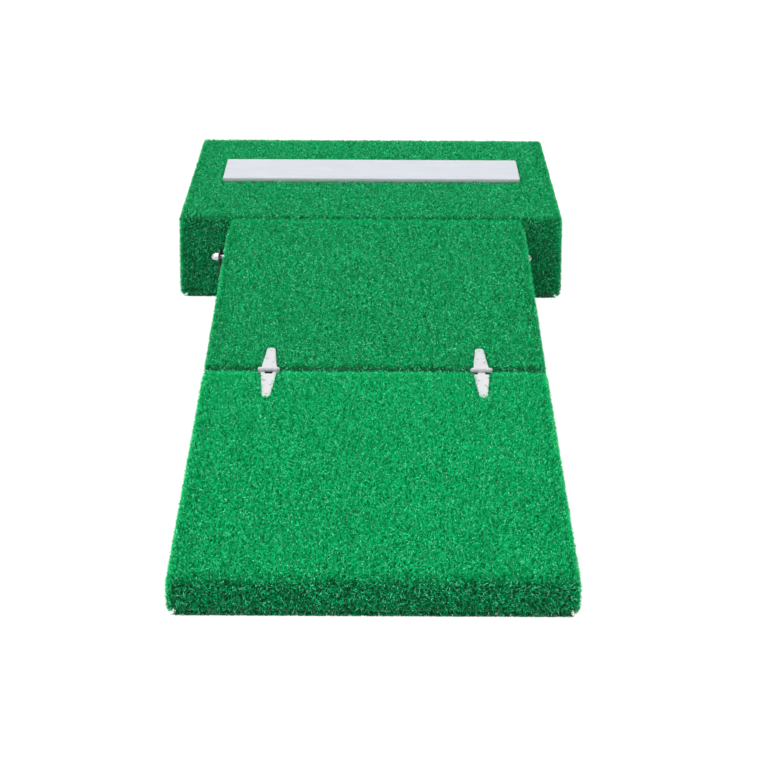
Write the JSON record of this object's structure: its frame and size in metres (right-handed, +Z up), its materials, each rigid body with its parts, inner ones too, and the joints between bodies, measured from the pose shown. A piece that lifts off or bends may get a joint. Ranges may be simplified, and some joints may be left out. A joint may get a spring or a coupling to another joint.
{
  "type": "portable pitching mound",
  "caption": "Portable pitching mound: a turf-covered box with a pitching rubber on top, and a turf-covered ramp that slopes down from it and folds up over its hinges.",
  "frame": {"origin": "on the floor, under the middle of the whole mound, box and ramp together", "axes": "+Z up, +Y to the rear where the box stands, +X to the right seen from the ramp's front end"},
  "size_m": [0.737, 2.02, 0.1648],
  "materials": {
    "turf": "short curled green pile on a dark backing",
    "plywood": "plain birch-faced plywood with layered edges",
    "white_rubber": "smooth white moulded rubber, satin",
    "black_rubber": "ribbed matt black",
    "black_steel": "black powder coat",
    "hinge_steel": "bright zinc plate",
    "zinc_steel": "zinc plate"
  },
  "bodies": {
    "box": {"box_deck": "plywood", "box_front_board": "plywood", "box_rear_board": "plywood", "box_left_board": "plywood", "box_right_board": "plywood", "box_left_joist": "plywood", "box_right_joist": "plywood", "box_deck_screws": "zinc_steel", "box_corner_screws": "zinc_steel", "box_turf": "turf", "box_front_strip": "black_rubber", "box_rear_strip": "black_rubber", "box_left_strip": "black_rubber", "box_right_strip": "black_rubber", "pitching_rubber": "white_rubber", "rubber_bolts": "zinc_steel", "left_bracket": "black_steel", "right_bracket": "black_steel", "bracket_screws": "zinc_steel", "pivot_bolts": "zinc_steel", "pivot_washers": "zinc_steel", "dome_nuts": "zinc_steel"},
    "upper_section": {"upper_deck": "plywood", "upper_left_rail": "plywood", "upper_right_rail": "plywood", "upper_left_inner_rail": "plywood", "upper_right_inner_rail": "plywood", "upper_rear_board": "plywood", "upper_front_board": "plywood", "upper_deck_screws": "zinc_steel", "upper_corner_screws": "zinc_steel", "upper_turf": "turf", "upper_base_strip": "black_rubber", "left_hinge_upper_leaf": "hinge_steel", "right_hinge_upper_leaf": "hinge_steel", "hinge_pins": "zinc_steel", "upper_hinge_screws": "zinc_steel"},
    "lower_section": {"lower_deck": "plywood", "lower_left_rail": "plywood", "lower_right_rail": "plywood", "lower_left_inner_rail": "plywood", "lower_right_inner_rail": "plywood", "lower_rear_board": "plywood", "lower_front_board": "plywood", "lower_deck_screws": "zinc_steel", "lower_corner_screws": "zinc_steel", "lower_turf": "turf", "lower_front_strip": "black_rubber", "lower_rear_strip": "black_rubber", "lower_left_strip": "black_rubber", "lower_right_strip": "black_rubber", "left_hinge_lower_leaf": "hinge_steel", "right_hinge_lower_leaf": "hinge_steel", "lower_hinge_screws": "zinc_steel"}
  },
  "joints": [
    {"name": "ramp_tilt", "type": "hinge", "parent": "box", "child": "upper_section", "pos_m": [0.002, 0.324, 0.095], "axis": [-1, 0, 0], "range_deg": [0, 14]},
    {"name": "ramp_fold", "type": "hinge", "parent": "upper_section", "child": "lower_section", "pos_m": [0.011, -0.332, 0.10461], "axis": [-1, 0, 0], "range_deg": [0, 178]}
  ]
}
